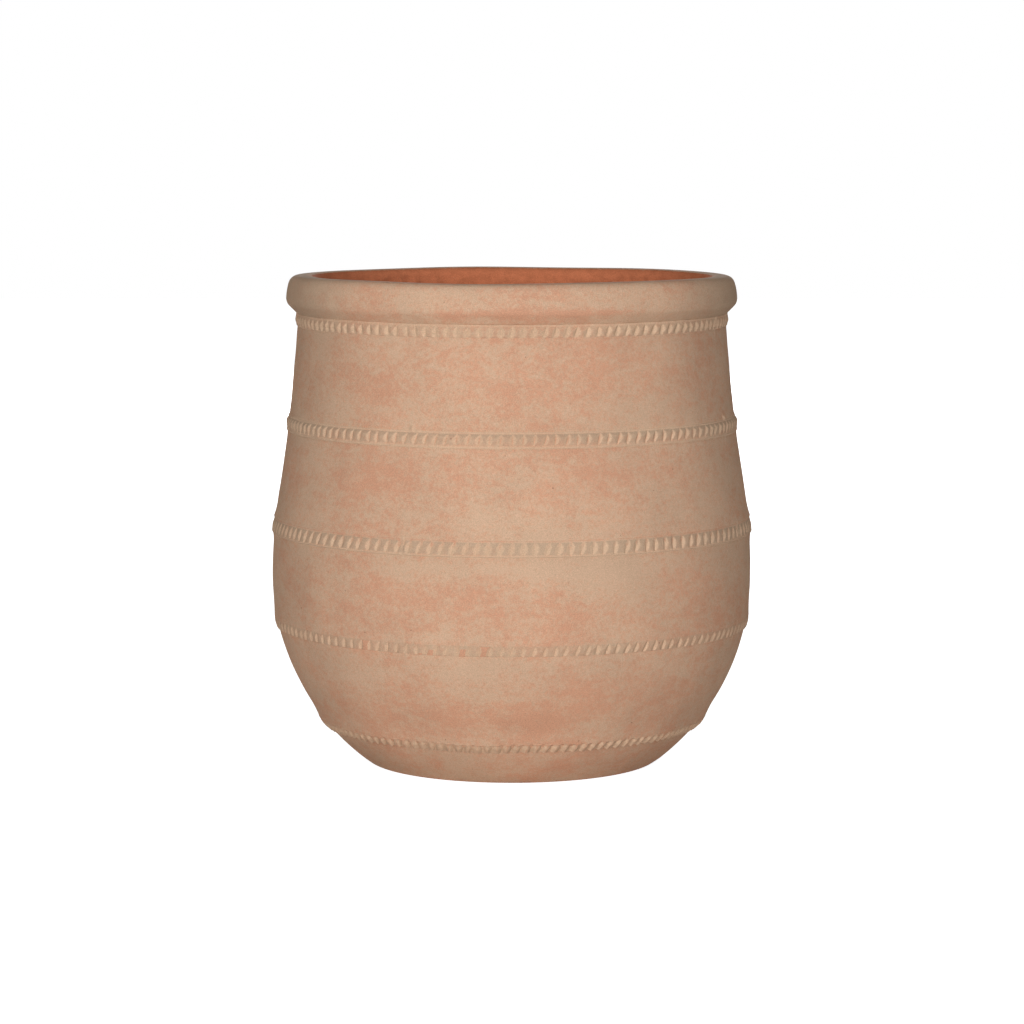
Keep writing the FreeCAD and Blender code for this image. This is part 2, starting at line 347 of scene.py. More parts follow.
class WallCurve:
    """Outside of the wall in three arcs that meet without a corner. A point lies at a depth straight in from
    the outside point at a height, so each depth gives arcs about the same centres."""

    def __init__(self, wall):
        foot_round = (wall.foot_inset ** 2 + wall.belly_height ** 2) / (2 * wall.foot_inset)
        sine, cosine = math.sin(wall.shoulder_lean), math.cos(wall.shoulder_lean)
        shoulder_top = wall.belly_height + wall.shoulder_round * sine
        start = wall.belly_radius - wall.shoulder_round * (1 - cosine)
        run = wall.belly_radius - wall.neck_inset - start
        rise = wall.neck_top - shoulder_top
        neck_round = (run ** 2 + rise ** 2) / (2 * (run * cosine + rise * sine))
        self.joins = np.array([wall.belly_height, shoulder_top])
        belly_radius, belly_height = wall.belly_radius, wall.belly_height
        self.centre_radius = np.array([
            belly_radius - foot_round, belly_radius - wall.shoulder_round, start + cosine * neck_round])
        self.centre_height = np.array([belly_height, belly_height, shoulder_top + sine * neck_round])
        self.radius = np.array([foot_round, wall.shoulder_round, abs(neck_round)])
        self.side = np.array([1, 1, -math.copysign(1, neck_round)])

    def outward(self, height):
        """Direction out of the wall, as its parts along the radius and up."""
        arc = np.searchsorted(self.joins, height)
        slope = (height - self.centre_height[arc]) / self.radius[arc]
        return np.sqrt(1 - slope ** 2), slope * self.side[arc]

    def point(self, height, depth):
        """Radius and level of the points at a depth: the arc's centre, and from there the arc's radius less
        the depth in the outward direction."""
        arc = np.searchsorted(self.joins, height)
        out_radius, out_height = self.outward(height)
        reach = self.side[arc] * self.radius[arc]
        radius = self.centre_radius[arc] + out_radius * (reach - depth)
        return radius, self.centre_height[arc] + out_height * (reach - depth)

    def spot(self, height, depth):
        """One such point, as plain numbers."""
        radius, level = self.point(np.array(height), depth)
        return float(radius), float(level)

    def height_over(self, level, depth, arc):
        """Height of the outside point whose point at this depth lies on the level."""
        centre = self.centre_height[arc]
        return centre + (level - centre) / (1 - self.side[arc] * depth / self.radius[arc])


# Faces of an outline, which say how its points are moved and coloured
hidden_face, outside_face, inside_face, ground_face = range(4)

# Directions in which the points of an outline are moved, along the radius and up
unmoved, upwards, inwards = (0, 0), (0, 1), (-1, 0)


class Outline:
    """Closed outline in the plane of radius and height, from the outside up and over to the inside. Each
    point has the direction in which it is moved and the face that it belongs to."""

    def __init__(self):
        self.parts = []

    def add(self, radius, height, out_radius, out_height, face):
        """Points by their radius and height, with one direction and face or one for each."""
        self.parts.append(np.stack(np.broadcast_arrays(radius, height, out_radius, out_height, face)))

    def add_point(self, point, out, face):
        """One point."""
        self.add(point[0], [point[1]], *out, face)

    def add_line(self, start, end, out, face, count):
        """Points of a straight line, without its ends."""
        along = np.linspace(0, 1, count + 2)[1:-1]
        self.add(start[0] + (end[0] - start[0]) * along, start[1] + (end[1] - start[1]) * along, *out, face)

    def add_arc(self, centre, radius, start, end, face, count):
        """Points of an arc with its ends, by its angles over the level."""
        turn = np.linspace(start, end, count)
        self.add(centre[0] + radius * np.cos(turn), centre[1] + radius * np.sin(turn),
                 np.cos(turn), np.sin(turn), face)

    def add_wall(self, curve, heights, depth, face):
        """Points of the wall at one depth over the outside heights, moved out, or in where they are on the
        inside."""
        way = -1 if face == inside_face else 1
        out_radius, out_height = curve.outward(heights)
        self.add(*curve.point(heights, depth), way * out_radius, way * out_height, face)

    def arrays(self):
        """Columns of radius, height, the two parts of the direction, and face."""
        return [values[:, None] for values in np.concatenate(self.parts, axis=1)]


# Strip of a band
sunk_reach = 0.0016  # how far its sunk edges go past it
sunk_depth = 0.0005  # how deep they are in the wall
slope_rows = 5  # rows of points on the slope at each edge
face_rows = 27  # rows of points on the face between the slopes


class Band:
    """Rope band on the wall. Across is measured along the wall from the band's middle, upwards."""

    def __init__(self, settings, curve, seed):
        self.settings = settings
        self.seed = seed
        self.half = settings.width / 2
        self.low_end = settings.bottom_border - self.half
        self.high_end = self.half - settings.top_border
        self.slope = float(curve.outward(np.array(settings.middle))[0])
        self.radius = curve.spot(settings.middle, 0)[0]
        self.low = settings.middle - self.half * self.slope
        self.high = settings.middle + self.half * self.slope

    def across(self, height):
        """Place across the band, from the height over its middle and the wall's slope there."""
        return (height - self.settings.middle) / self.slope

    def rows(self):
        """Column of the places of the strip's rows: sunk ones past its edges, close ones on the slopes at
        its edges, and even ones on its face."""
        half, edge = self.half, self.settings.edge_round
        sunk = np.array([-half - sunk_reach, -half - sunk_reach / 2])
        low_slope = np.linspace(-half, edge - half, slope_rows, endpoint=False)
        face = np.linspace(edge - half, half - edge, face_rows, endpoint=False)
        high_slope = np.linspace(half - edge, half, slope_rows)
        return np.concatenate([sunk, low_slope, face, high_slope, -sunk[::-1]])[:, None]

    def strip(self, across):
        """Height of the strip off the wall: soft steps from the lower edge over the crown to the upper."""
        band, half = self.settings, self.half
        places = np.array([-half, band.edge_round - half, band.crown_shift, half - band.edge_round, half])
        levels = np.array([band.bottom_edge, band.bottom_step, band.crown, band.top_step, band.top_edge])
        return smooth_through(places, levels, np.clip(across, -half, half))

    def swell(self, height):
        """Swell of the wall above and below the strip: the height at its edge, fading out."""
        across = self.across(height)
        band = self.settings
        above = np.clip(1 - (across - self.half) / band.top_fade, 0, 1) ** 2
        below = np.clip(1 + (across + self.half) / band.bottom_fade, 0, 1) ** 2
        return np.where(across > 0, band.top_edge * above, band.bottom_edge * below)


# Marks of the mould's joints
plain_fin = 0.06  # share of a fin that shows away from the bands
nub_above = 0.0014  # place of a nub above the band
nub_tall = 0.0024  # half its height
nub_aside = 0.0022  # place of a nub to the right of the joint
nub_wide = 0.0015  # half its width

# Relief of the wall
dent_slant = 0.035  # slant of the rows of dents inside, as a share of the belly's radius
dent_rises = 3  # how often those rows rise and fall round the pot
tuck_depth = 0.001  # how deep the wall is tucked in under a band
tuck_slope = 0.003  # width over which it gets there

# Thicker wash on the foot, and thicker, paler wash on the sides as the camera sees them, which is a painted
# tint of the cooler light there
side_wash_low = 0.12  # height where it starts on the sides
side_wash_fade = 0.1  # height over which it gets thick
foot_wash_high = 0.045  # height where it ends on the foot
foot_wash_fade = 0.015  # height over which it gets thin

# Worn areas of the wash: azimuth in degrees, height, half length and half height in metres, and strength,
# which is below zero where the wash is thicker
worn_areas = (
    (-36, 0.283, 0.05, 0.02, 0.8),
    (-30, 0.365, 0.06, 0.022, 0.3),
    (2, 0.37, 0.05, 0.03, 0.25),
    (22, 0.36, 0.04, 0.03, 0.35),
    (20, 0.30, 0.03, 0.02, 0.25),
    (-32, 0.185, 0.05, 0.03, 0.35),
    (10, 0.165, 0.05, 0.025, 0.35),
    (52, 0.17, 0.025, 0.02, 0.5),
    (-18, 0.072, 0.06, 0.014, 0.6),
    (8, 0.066, 0.05, 0.013, 0.65),
    (18, 0.095, 0.05, 0.02, 0.3),
    (14, 0.235, 0.09, 0.025, -0.5),
    (8, 0.207, 0.12, 0.008, -0.8),
    (24, 0.185, 0.05, 0.02, -0.4),
    (0, 0.118, 0.12, 0.012, -0.4),
    (-25, 0.02, 0.012, 0.006, 0.8),
    (16, 0.018, 0.02, 0.006, 0.7),
    (-15.5, 0.4295, 0.019, 0.0035, 1.2),
    (-6, 0.431, 0.018, 0.003, 1.25),
    (1.5, 0.4315, 0.012, 0.004, 1.3),
    (13, 0.431, 0.014, 0.003, 1.2),
    (24, 0.432, 0.034, 0.0025, 1.1),
)

# Seed of the lowest band's notches. Each band above has the next one
first_band_seed = 41


class Pot:
    """The pot's curve, bands and seams, read from the settings."""

    def __init__(self, settings):
        self.settings = settings
        self.wall = settings.wall
        self.curve = WallCurve(settings.wall)
        bands = (settings.foot_band, settings.lower_band, settings.belly_band, settings.shoulder_band,
                 settings.neck_band)
        self.bands = [Band(band, self.curve, seed) for seed, band in enumerate(bands, start=first_band_seed)]

    def seam_distance(self, azimuth):
        """Signed distance along the wall to the nearest joint of the mould."""
        seams = self.settings.seams.azimuths
        turns = [(azimuth - seam + half_turn) % full_turn - half_turn for seam in seams]
        nearest = turns[0]
        for turn in turns[1:]:
            nearest = np.where(np.abs(turn) < np.abs(nearest), turn, nearest)
        return nearest * self.wall.belly_radius

    def columns(self, count=600, close=14, span=3):
        """Azimuths of a row's columns: even ones round the pot, and close ones at the joints of the mould,
        up to span half widths of a fin from each."""
        even = np.linspace(0, full_turn, count, endpoint=False)
        near = np.linspace(-1, 1, close) * span * self.settings.seams.ridge_width / self.wall.belly_radius
        seams = [(seam + near) % full_turn for seam in self.settings.seams.azimuths]
        return np.unique(np.concatenate([even] + seams))[None, :]

    def uneven(self, azimuth, height):
        """How far the pressed wall strays from its curve, in long and short waves."""
        waves = hand_waves(azimuth, height, **wall_swell) + hand_waves(azimuth, height, **wall_ripple)
        return self.wall.unevenness * waves

    def seam_fins(self, azimuth, height):
        """Fin of clay at each joint of the mould, from 0 to 1, which fades away from the bands."""
        seams = self.settings.seams
        fin = plain_fin
        for band in self.bands:
            clear = np.abs(band.across(height)) - band.half
            fin = fin + bump(np.maximum(clear, 0) / seams.reach)
        return np.minimum(fin, 1) * bump(self.seam_distance(azimuth) / seams.ridge_width)

    def seam_nubs(self, azimuth, height):
        """Nub of clay above some bands at each joint of the mould, from 0 to 1."""
        nubs = sum(band.settings.nub * bump((band.across(height) - band.half - nub_above) / nub_tall)
                   for band in self.bands)
        return nubs * bump((self.seam_distance(azimuth) - nub_aside) / nub_wide)

    def outside_relief(self, azimuth, height):
        """How far the wall's outside stands off its curve: uneven pressing, the swell beside each band, and
        the fins and nubs of the mould, fading out at the edge that the pot stands on."""
        seams = self.settings.seams
        relief = self.uneven(azimuth, height) + sum(band.swell(height) for band in self.bands)
        relief = relief + seams.ridge * self.seam_fins(azimuth, height)
        relief = relief + seams.nub * self.seam_nubs(azimuth, height)
        return relief * smooth(height / self.wall.foot_edge_round)

    def inside_relief(self, azimuth, height):
        """Hand marks inside: dents of a thumb's width in slanting rows, on a longer swell."""
        slanted = height + dent_slant * self.wall.belly_radius * np.sin(dent_rises * azimuth)
        marks = hand_waves(azimuth, slanted, **hand_dents) + hand_waves(azimuth, height, **hand_swell)
        return self.wall.press_marks * marks

    def under_bands(self, height):
        """How far the wall's outside is tucked in under the bands, so that it doesn't show through them."""
        tuck = 0
        for band in self.bands:
            inside = band.half - np.abs(band.across(height))
            tuck = np.maximum(tuck, tuck_depth * smooth(inside / tuck_slope))
        return tuck

    def worn_patches(self, azimuth, height):
        """Large worn areas of the wash, as soft ovals, less the thicker wash on the sides and the foot."""
        finish = self.settings.finish
        # Painted tint of the cooler light on the sides as the camera sees them
        beside = finish.side_light_tint * np.sin(azimuth) ** 2
        worn = -beside * smooth((height - side_wash_low) / side_wash_fade)
        worn = worn - finish.foot_wash * smooth((foot_wash_high - height) / foot_wash_fade)
        for degrees, level, reach, tall, strength in worn_areas:
            turn = (azimuth - math.radians(degrees) + half_turn) % full_turn - half_turn
            along = bump(turn * self.wall.belly_radius / reach)
            worn = worn + strength * along * bump((height - level) / tall)
        return worn


# Edges with a wider angle between their faces are shaded sharp
sharp_angle = math.radians(60)


def make_ring(node, slot, material, azimuth, radius, height, **marks):
    """Piece that stands for a node, made of a closed outline carried round the pot's axis. The arrays have a
    row for each point of the outline and a column for each azimuth, and both ways close. Marks are values
    kept on the points."""
    azimuth, radius, height = np.broadcast_arrays(azimuth, radius, height)
    points = np.stack((radius * np.sin(azimuth), -radius * np.cos(azimuth), height), axis=-1)
    corner = np.arange(radius.size).reshape(radius.shape)
    beside = np.roll(corner, -1, axis=1)
    faces = np.stack((corner, beside, np.roll(beside, -1, axis=0), np.roll(corner, -1, axis=0)), axis=-1)
    name = node + "_clay"
    mesh = bpy.data.meshes.new(name)
    mesh.vertices.add(radius.size)
    mesh.vertices.foreach_set("co", points.ravel().astype(np.float32))
    mesh.loops.add(faces.size)
    mesh.loops.foreach_set("vertex_index", faces.ravel().astype(np.int32))
    mesh.polygons.add(radius.size)
    mesh.polygons.foreach_set("loop_start", np.arange(0, faces.size, faces.shape[-1], dtype=np.int32))
    mesh.update(calc_edges=True)
    mesh.shade_smooth()
    mesh.set_sharp_from_angle(angle=sharp_angle)
    for mark, values in marks.items():
        kept = mesh.attributes.new(mark, "FLOAT", "POINT")
        kept.data.foreach_set("value", np.broadcast_to(values, radius.shape).ravel().astype(np.float32))
    mesh.materials.append(material)
    piece = bpy.data.objects.new(name, mesh)
    bpy.context.scene.collection.objects.link(piece)
    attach(piece, body)
    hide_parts(node)


# Wash on the wall
foot_wear_share = 0.5  # how much of it the ground has worn off at the foot's edge
foot_wear_height = 0.004  # height up to which it is worn there
fin_cream = 0.8  # paleness of the fins


def wall_ring(pot, node, outline):
    """Row of the wall from its outline: its outside and inside take the relief of the wall."""
    radius, height, out_radius, out_height, face = outline.arrays()
    azimuth = pot.columns()
    outside = (face == outside_face) * (pot.outside_relief(azimuth, height) - pot.under_bands(height))
    moved = outside + (face == inside_face) * pot.inside_relief(azimuth, height)
    foot_wear = smooth(1 - height / foot_wear_height)
    cover = (face == outside_face) * (1 - foot_wear_share * foot_wear)
    cream = np.maximum(fin_cream * pot.seam_fins(azimuth, height), pot.seam_nubs(azimuth, height))
    make_ring(node, "washed_terracotta", washed_clay(), azimuth, radius + moved * out_radius,
              height + moved * out_height, cover=cover, dusty=0, cream=cream,
              worn=pot.worn_patches(azimuth, height))


# Height above a band in which the rows lie closer, for the nubs
nub_zone = 0.006


def course_heights(pot, low, high, spacing=0.0026, least_steps=5):
    """Outside heights of a row's points, with one at each edge of a band."""
    stops = [low, high]
    for band in pot.bands:
        stops.extend(edge for edge in (band.low, band.high, band.high + nub_zone) if low < edge < high)
    stops.sort()
    parts = []
    for start, end in zip(stops, stops[1:]):
        steps = max(least_steps, round((end - start) / spacing))
        parts.append(np.linspace(start, end, steps, endpoint=False))
    return np.concatenate(parts + [[high]])


def floor_corner(pot):
    """Outside height behind which the floor's inside corner lies, and the corner's place."""
    wall = pot.wall
    height = pot.curve.height_over(wall.floor_thickness, wall.thickness, foot_arc)
    return height, pot.curve.spot(height, wall.thickness)


def mouth_height(pot):
    """Outside height behind which the inside of the wall reaches the rim."""
    return pot.curve.height_over(pot.wall.neck_top, pot.wall.thickness, neck_arc)


def add_joint(outline, pot, start_height, start_depth, end_height, end_depth):
    """Bevelled joint between two rows, without its ends."""
    start = pot.curve.spot(start_height, start_depth)
    end = pot.curve.spot(end_height, end_depth)
    outline.add_line(start, end, unmoved, hidden_face, count=2)


def add_inside(outline, pot, high, low, count):
    """Inside of a row, from a high outside height down to a low one."""
    outline.add_wall(pot.curve, np.linspace(high, low, count), pot.wall.thickness, inside_face)


def build_course(pot, node, low, high):
    """Row between two bevelled joints: outside up, joint, inside down, joint."""
    wall = pot.wall
    low_inside, high_inside = low - wall.joint_bevel, high - wall.joint_bevel
    outline = Outline()
    outline.add_wall(pot.curve, course_heights(pot, low, high), 0, outside_face)
    add_joint(outline, pot, high, 0, high_inside, wall.thickness)
    add_inside(outline, pot, high_inside, low_inside, count=40)
    add_joint(outline, pot, low_inside, wall.thickness, low, 0)
    wall_ring(pot, node, outline)


def build_foot_course(pot, high):
    """Lowest row: rounded edge on the ground, outside up, joint, inside down to the floor's edge, ground."""
    wall, curve = pot.wall, pot.curve
    high_inside = high - wall.joint_bevel
    reach = curve.radius[foot_arc] - wall.foot_edge_round
    drop = wall.foot_edge_round - curve.centre_height[foot_arc]
    run = math.sqrt(reach ** 2 - drop ** 2)
    edge = (curve.centre_radius[foot_arc] + run, wall.foot_edge_round)
    edge_turn = math.atan2(drop, run)
    rounding_top = edge[1] + wall.foot_edge_round * math.sin(edge_turn)
    corner_height, corner = floor_corner(pot)
    low_edge = (corner[0] - wall.floor_bevel, 0)
    outline = Outline()
    outline.add_arc(edge, wall.foot_edge_round, -quarter_turn, edge_turn, outside_face, count=10)
    outline.add_wall(curve, course_heights(pot, rounding_top, high)[1:], 0, outside_face)
    add_joint(outline, pot, high, 0, high_inside, wall.thickness)
    add_inside(outline, pot, high_inside, corner_height, count=16)
    outline.add_line(corner, low_edge, unmoved, hidden_face, count=3)
    outline.add_point(low_edge, unmoved, ground_face)
    outline.add_line(low_edge, (edge[0], 0), unmoved, ground_face, count=5)
    wall_ring(pot, "foot_course", outline)


def build_neck_course(pot, low):
    """Last row: outside up to the crease, level top under the rim, inside down, joint."""
    wall = pot.wall
    low_inside = low - wall.joint_bevel
    outline = Outline()
    outline.add_wall(pot.curve, course_heights(pot, low, wall.neck_top), 0, outside_face)
    add_joint(outline, pot, wall.neck_top, 0, mouth_height(pot), wall.thickness)
    add_inside(outline, pot, mouth_height(pot), low_inside, count=44)
    add_joint(outline, pot, low_inside, wall.thickness, low, 0)
    wall_ring(pot, "neck_course", outline)


def rim_outline(pot):
    """Outline of the rolled rim: ledge, sloping underside, round to the widest point, curved side, rounded
    outer edge, level top, rounded inner edge, bore. The underside is the line from the ledge that meets the
    round without a corner, and so does the side with both rounds."""
    wall, rim = pot.wall, pot.settings.rim
    crease = pot.curve.spot(wall.neck_top, 0)
    mouth = pot.curve.spot(mouth_height(pot), wall.thickness)
    widest = (crease[0] + rim.overhang, rim.top - rim.widest_drop)
    ledge = (crease[0] + rim.ledge, crease[1])
    under = (widest[0] - rim.under_round, widest[1])
    reach = math.hypot(ledge[0] - under[0], ledge[1] - under[1])
    under_turn = math.atan2(ledge[1] - under[1], ledge[0] - under[0]) + math.acos(rim.under_round / reach)
    slope_out = (math.cos(under_turn), math.sin(under_turn))
    slope_end = (under[0] + rim.under_round * slope_out[0], under[1] + rim.under_round * slope_out[1])
    edge_rise = rim.widest_drop - rim.top_round
    edge_reach = rim.side_round - rim.top_round
    edge_turn = math.asin(edge_rise / edge_reach)
    side = (widest[0] - rim.side_round, widest[1])
    edge = (side[0] + edge_reach * math.cos(edge_turn), widest[1] + edge_rise)
    inner = (mouth[0] + rim.mouth_round, rim.top - rim.mouth_round)
    outline = Outline()
    outline.add_point(ledge, slope_out, outside_face)
    outline.add_line(ledge, slope_end, slope_out, outside_face, count=8)
    outline.add_arc(under, rim.under_round, under_turn, 0, outside_face, count=10)
    outline.add_arc(side, rim.side_round, 0, edge_turn, outside_face, count=8)
    outline.add_arc(edge, rim.top_round, edge_turn, quarter_turn, outside_face, count=12)
    outline.add_line((edge[0], rim.top), (inner[0], rim.top), upwards, outside_face, count=3)
    outline.add_arc(inner, rim.mouth_round, quarter_turn, half_turn, inside_face, count=12)
    outline.add_line((mouth[0], inner[1]), mouth, inwards, inside_face, count=14)
    outline.add_point(mouth, inwards, inside_face)
    outline.add_line(mouth, crease, unmoved, hidden_face, count=3)
    return outline


# Relief and wash of the rim
crease_fade = 0.006  # height over which the rim starts to stray above the crease
bore_rise = 0.004  # how far up the mouth's rounding the hand marks go
bore_fade = 0.006  # height over which they end there
side_shade_start = 0.6  # sine of the azimuth from which the rim's sides get painted shade as greyer wash


def build_rim(pot):
    """Rolled rim: its outside strays in long waves, with short ones beside its top, its bore has the wall's
    hand marks, and it rises to the front by half a cosine wave. The wash ends at the mouth's edge."""
    wall, rim = pot.wall, pot.settings.rim
    radius, height, out_radius, out_height, face = rim_outline(pot).arrays()
    azimuth = pot.columns()
    outside, inside = face == outside_face, face == inside_face
    crease_free = smooth((height - wall.neck_top) / crease_fade)
    beside = smooth((rim.top - height) / rim.top_round)
    waves = hand_waves(azimuth, height, **rim_swell) + beside * hand_waves(azimuth, height, **rim_ripple)
    rolled = rim.unevenness * waves
    bore = smooth((rim.top - rim.mouth_round + bore_rise - height) / bore_fade)
    mouth = bore * pot.inside_relief(azimuth, height) + (1 - bore) * rolled
    moved = outside * crease_free * rolled + inside * mouth
    washed_edge = smooth(1 - (rim.top - height) / rim.wash_reach)
    up = np.clip((height - wall.neck_top) / (rim.top - wall.neck_top), 0, 1)
    lift = rim.front_rise * (1 + np.cos(azimuth)) / 2 * up
    # Painted shade on the rim's sides as the camera sees them, laid on as greyer wash
    sides = smooth((np.abs(np.sin(azimuth)) - side_shade_start) / (1 - side_shade_start)) * outside
    make_ring("rim_roll", "washed_terracotta", washed_clay(), azimuth, radius + moved * out_radius,
              height + moved * out_height + lift, cover=np.where(inside, washed_edge, outside),
              dusty=rim.side_shade * sides, cream=0, worn=pot.worn_patches(azimuth, height))


# Columns of one notch, as shares of the spacing, closer at its bottom
notch_sides = np.array([0.025, 0.065, 0.115, 0.17, 0.23, 0.3, 0.39])
notch_columns = np.concatenate(([-0.5], -notch_sides[::-1], notch_sides))

# Form of a notch
notch_stray = 0.0003  # how far it strays across the strip
upper_power = 0.9  # how its reach narrows to the upper end
lower_power = 3  # how its reach narrows to the lower end
depth_power = 0.7  # how its depth falls with its reach
least_reach = 1e-5  # least reach that is divided by
end_slack = 0.0005  # how far past the notches' ends the strip still counts as notched
end_fade = 0.001  # width over which that ends

# Pale borders of a band
lip_width = 0.0007  # width of the raised lip at the edge
lip_height = 0.0003  # height of that lip
line_fade = 0.0008  # width over which a border gets pale
line_paleness = 0.5  # paleness of a border away from its lip

# Crack across a band at a joint of the mould
crack_share = 0.8  # its width as a share of the fin's
crack_fade = 0.002  # width over which it ends at the strip's edges
slip_share = 0.2  # how far the strip is sunk at its left, as a share of its depth
slip_step = 0.0016  # width of the step down
slip_reach = 0.012  # how far to the left the strip is sunk
least_relief = 0.0001  # least height of the strip off the wall

# Wash on a band
cream_steepness = 5  # how steeply a notch turns pale from its edges
edge_wear_width = 0.0009  # width of the wear at the upper edge
pink_wear = 1.6  # wear at the bottom of a notch
pink_width = 0.3  # width of that wear as a share of the notch's
bare_wear = 2.5  # wear on a bare land
bare_tops = (-0.6, 0.9)  # lowest and highest top of the bare part, as shares of the strip's half width


def on_columns(values):
    """Row with one value for each notch, on all its columns."""
    return np.repeat(values, len(notch_columns))[None, :]


class Notches:
    """Leaf-shaped notches of a band, on a grid with a row for each place across the strip and some columns
    for each notch. A notch is a crease whose sides flatten out towards the lands between the notches,
    (1 - |aside| / reach) to the power of its sharpness, and its reach and depth fall to both ends. Each
    notch differs a little."""

    def __init__(self, band):
        settings, low_end, high_end = band.settings, band.low_end, band.high_end
        differ = settings.variation
        self.count = settings.notches
        self.chance = np.random.default_rng(band.seed)
        self.across = band.rows()
        pitch = full_turn * band.radius / self.count
        sideways = np.tile(notch_columns, self.count)[None, :]
        # Share of a notch's own lean and place, 1 at its bottom and 0 halfway to the next notch
        own = 1 - 4 * sideways ** 2
        turns = (on_columns(np.arange(self.count)) + sideways) / self.count
        lean = math.tan(settings.notch_lean) + own * self.differing(-differ, differ)
        shift = own * pitch * self.differing(-differ, differ) / 2
        self.azimuth = turns * full_turn + (lean * self.across + shift) / band.radius
        self.aside = np.abs(sideways) * pitch

        notch_half = (high_end - low_end) / 2 * self.differing(1 - differ / 2, 1)
        notch_middle = (high_end + low_end) / 2 + self.differing(-notch_stray, notch_stray)
        along = np.clip((self.across - notch_middle) / notch_half, -1, 1)
        pointed = (1 - np.maximum(along, 0) ** settings.tip) ** upper_power
        blunt = np.sqrt(1 - np.maximum(-along, 0) ** lower_power)
        blunt = np.where(self.across > low_end - end_slack, np.maximum(blunt, settings.fullness), blunt)
        self.leaf = pointed * blunt
        self.widest = settings.notch_width * pitch / 2 * self.differing(1 - differ, 1 + differ)
        self.wedge = np.clip(1 - self.aside / np.maximum(self.widest * self.leaf, least_reach), 0, 1)
        deepest = settings.notch_depth * self.differing(1 - differ, 1 + differ)
        self.depth = deepest * self.leaf ** depth_power * self.wedge ** settings.sharpness

    def differing(self, low, high):
        """Random value for each notch, on all its columns."""
        return on_columns(self.chance.uniform(low, high, self.count))

    def bare_lands(self, band):
        """Lands between notches whose wash has come off up to a random top, from 0 to 1. A land is chosen by
        chance, most likely at the middle of the bare ones."""
        settings = band.settings
        land = (on_columns(np.arange(self.count))[0] + np.tile(notch_columns > 0, self.count)) % self.count
        bare_top = self.chance.uniform(*bare_tops, self.count)[land] * band.half
        from_middle = (land / self.count - settings.bare_middle / full_turn + 0.5) % 1 - 0.5
        likely = settings.bare * bump(from_middle * full_turn / settings.bare_reach)
        chosen = self.chance.random(self.count)[land] < likely
        return chosen * smooth((bare_top - self.across) / end_fade)


def mould_crack(pot, band, azimuth, across):
    """Crack across a band at each joint of the mould, from 0 to 1, and the strip's sinking beside it."""
    seam = pot.seam_distance(azimuth)
    inside = smooth((band.half - np.abs(across)) / crack_fade)
    crack = bump(seam / (crack_share * pot.settings.seams.ridge_width)) * inside
    slip = slip_share * smooth(0.5 - seam / slip_step) * bump(seam / slip_reach) * inside
    return crack, slip


def pale_lines(band, across):
    """Raised lips at both edges of a band, and the paleness of its plain borders."""
    lip = bump((np.abs(across) - band.half + lip_width) / lip_width)
    paleness = line_paleness + (1 - line_paleness) * lip
    top_line = smooth((across - band.high_end) / line_fade) * paleness
    bottom_line = smooth((band.low_end - across) / line_fade) * paleness
    return lip, band.settings.top_line * top_line + band.settings.bottom_line * bottom_line


def build_band(pot, band):
    """Rope band: a strip that rises from its edges to a crown, less its notches, with raised lips and with a
    crack at each joint of the mould. The notches are pale, and the lands between them are dusty or bare."""
    settings, half, low_end, high_end = band.settings, band.half, band.low_end, band.high_end
    notches = Notches(band)
    across, azimuth = notches.across, notches.azimuth
    height = settings.middle + across * band.slope
    lip, lines = pale_lines(band, across)
    crack, slip = mould_crack(pot, band, azimuth, across)
    relief = band.strip(across) - notches.depth + lip_height * lip * lines
    relief = relief - settings.crack * pot.settings.seams.nick * (crack + slip)
    relief = np.maximum(relief, least_relief)
    relief = np.where(np.abs(across) > half, band.swell(height), relief)
    sunk = sunk_depth * smooth((np.abs(across) - half) / sunk_reach)
    others = sum(other.swell(height) for other in pot.bands if other is not band)
    radius, level = pot.curve.point(height, sunk - relief - pot.uneven(azimuth, height) - others)

    cream = settings.cream * smooth(cream_steepness * notches.wedge)
    # Painted shade: the grey of the lands grows towards the upper edge
    fallen = np.clip((high_end - across) / (high_end - low_end), 0, 1)
    dust = settings.dust * (1 - settings.dust_fall * fallen)
    between = smooth((across - low_end + end_slack) / end_fade)
    between = between * smooth((high_end + end_slack - across) / end_fade)
    bare = notches.bare_lands(band) * between
    # Painted shade: each crack is darkened with the grey wash, on top of the lands' dust
    dusty = np.maximum(dust * between * (1 - cream) * (1 - bare), settings.crack * crack)
    pink = bump(notches.aside / (pink_width * notches.widest)) * notches.leaf
    worn = pot.worn_patches(azimuth, height) + settings.top_worn * bump((across - half) / edge_wear_width)
    worn = worn + pink_wear * settings.pink * pink + bare_wear * bare * (1 - cream)
    make_ring(settings.node, "washed_terracotta", washed_clay(), azimuth, radius, level, cover=1,
              dusty=dusty, cream=np.clip(cream * between + lines, 0, 1), worn=worn)


# Floor and coil
floor_columns = 420  # columns of points round both, which are narrower than the wall
rubbed_edge = 0.0025  # rounding of the drain hole's edges
smear_depth = 0.0005  # depth of the smears on the floor
hollow_depth = 0.0009  # depth of the hollow under it
edge_clear = 0.012  # distance from the floor's edges over which both start
coil_hollow = 0.0012  # depth of the coil's hollow face
thumb_depth = 0.0004  # depth of the thumb's marks on it


